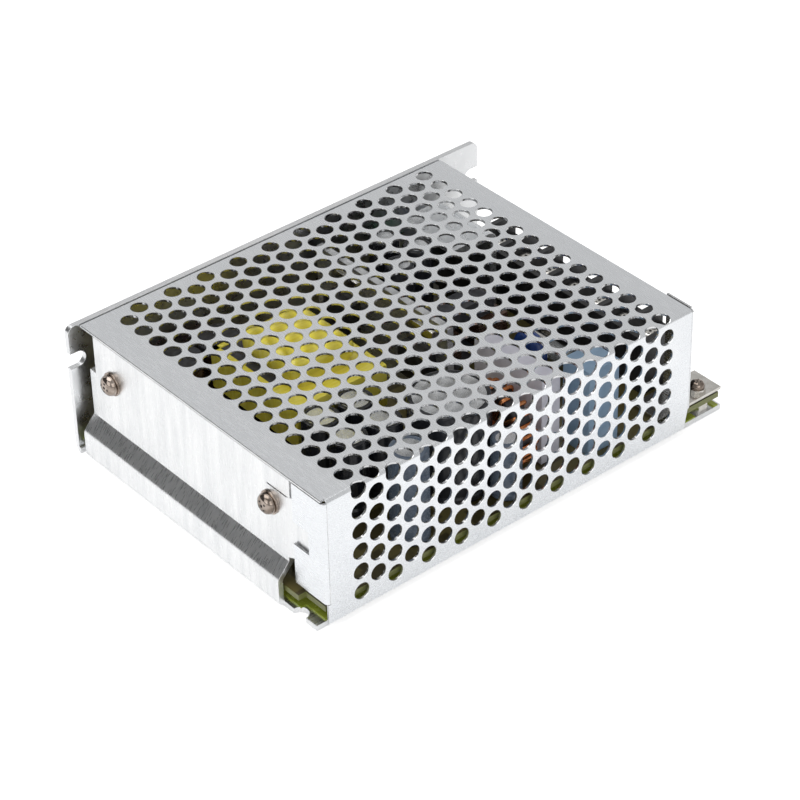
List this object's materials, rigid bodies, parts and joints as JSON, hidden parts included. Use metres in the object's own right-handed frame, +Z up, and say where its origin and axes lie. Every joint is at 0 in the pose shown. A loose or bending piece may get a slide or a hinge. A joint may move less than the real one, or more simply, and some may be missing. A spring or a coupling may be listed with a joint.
{
  "type": "enclosed switching power supply",
  "caption": "Mesh case switching power supply: perforated aluminium cover over an open board, screw terminals, mounting plate with ears.",
  "frame": {"origin": "Middle of the underside of the bounding box.", "axes": "+X towards the open terminal end, +Y towards the tall mounting plate, -Y towards the perforated side, +Z up from the bottom plate."},
  "size_m": [0.1348, 0.0976, 0.038],
  "materials": {
    "chassis_metal": "satin mill finish sheet",
    "cover_metal": "satin mill finish perforated sheet",
    "plated_steel": "bright nickel plating",
    "moulded_black": "moulded plastic",
    "pad_grey": "silicone pad",
    "film_yellow": "translucent film",
    "board_laminate": "lacquered laminate",
    "trimmer_blue": "moulded plastic",
    "rotor_white": "moulded plastic",
    "lamp_green": "tinted lens",
    "ferrite": "ground ferrite",
    "tape_yellow": "polyester tape",
    "can_sleeve": "shrink sleeve over an aluminium can",
    "slate_sleeve": "shrink sleeve over an aluminium can",
    "powder_core": "coated powder core",
    "copper_wire": "enamelled copper wire",
    "pale_case": "moulded case",
    "light_blue_case": "moulded case",
    "disc_blue": "dipped coating",
    "disc_green": "dipped coating",
    "sink_aluminium": "mill finish plate",
    "fuse_glass": "clear glass with metal caps",
    "resistor_body": "dipped coating"
  },
  "bodies": {
    "housing": {"chassis": "chassis_metal", "mesh_cover": "cover_metal", "wall_screws": "plated_steel", "wall_washers": "plated_steel", "wall_devices": "moulded_black", "thermal_pads": "pad_grey", "device_nuts": "plated_steel", "insulating_film": "film_yellow", "circuit_board": "board_laminate", "standoffs": "plated_steel", "board_screws": "plated_steel", "earthing_plate": "plated_steel", "earthing_washers": "plated_steel", "earthing_screw": "plated_steel", "terminal_block": "moulded_black", "terminal_clamps": "plated_steel", "terminal_screws": "plated_steel", "trimmer_body": "trimmer_blue", "power_lamp": "lamp_green", "transformer_core": "ferrite", "transformer_winding": "tape_yellow", "transformer_bobbin": "moulded_black", "output_capacitors": "can_sleeve", "bulk_capacitor": "can_sleeve", "sleeved_capacitors": "slate_sleeve", "signal_capacitors": "can_sleeve", "choke_core": "powder_core", "choke_winding": "copper_wire", "film_capacitor": "pale_case", "interference_capacitor": "light_blue_case", "safety_capacitors": "disc_blue", "inrush_thermistor": "disc_green", "heatsink": "sink_aluminium", "heatsink_devices": "moulded_black", "input_heatsink": "sink_aluminium", "bridge_rectifier": "moulded_black", "line_filter_core": "ferrite", "line_filter_coils": "copper_wire", "fuse": "fuse_glass", "fuse_clips": "plated_steel", "drum_chokes": "ferrite", "drum_windings": "copper_wire", "optocouplers": "moulded_black", "resistors": "resistor_body"},
    "trimmer": {"trimmer_rotor": "rotor_white"}
  },
  "joints": [
    {"name": "trimmer_turn", "type": "hinge", "parent": "housing", "child": "trimmer", "pos_m": [0.059, 0.0368, 0.0108], "axis": [0, 0, 1], "range_deg": [-130, 130]}
  ]
}
